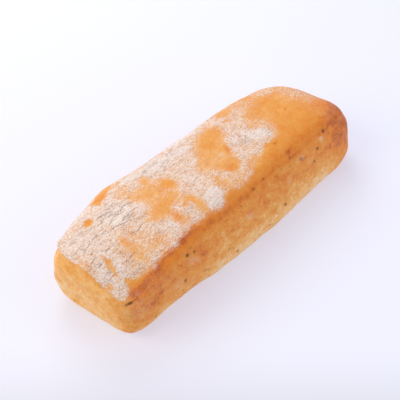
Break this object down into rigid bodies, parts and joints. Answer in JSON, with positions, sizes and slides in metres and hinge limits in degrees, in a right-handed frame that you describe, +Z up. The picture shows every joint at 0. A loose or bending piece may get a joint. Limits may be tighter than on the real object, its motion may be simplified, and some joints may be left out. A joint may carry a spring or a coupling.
{
  "type": "ciabatta loaf",
  "caption": "Long, low white bread loaf with a flour-dusted flat top, golden crust, one squared end and one rounded end.",
  "frame": {"origin": "bottom centre of the loaf's bounding box, on its flat resting face", "axes": "+X along the loaf towards its rounded end, -Y towards its front side, +Z up"},
  "size_m": [0.281, 0.1008, 0.0641],
  "materials": {
    "crust": "matte baked crust with a dusting of flour"
  },
  "bodies": {
    "root": {"loaf": "crust"}
  },
  "joints": []
}
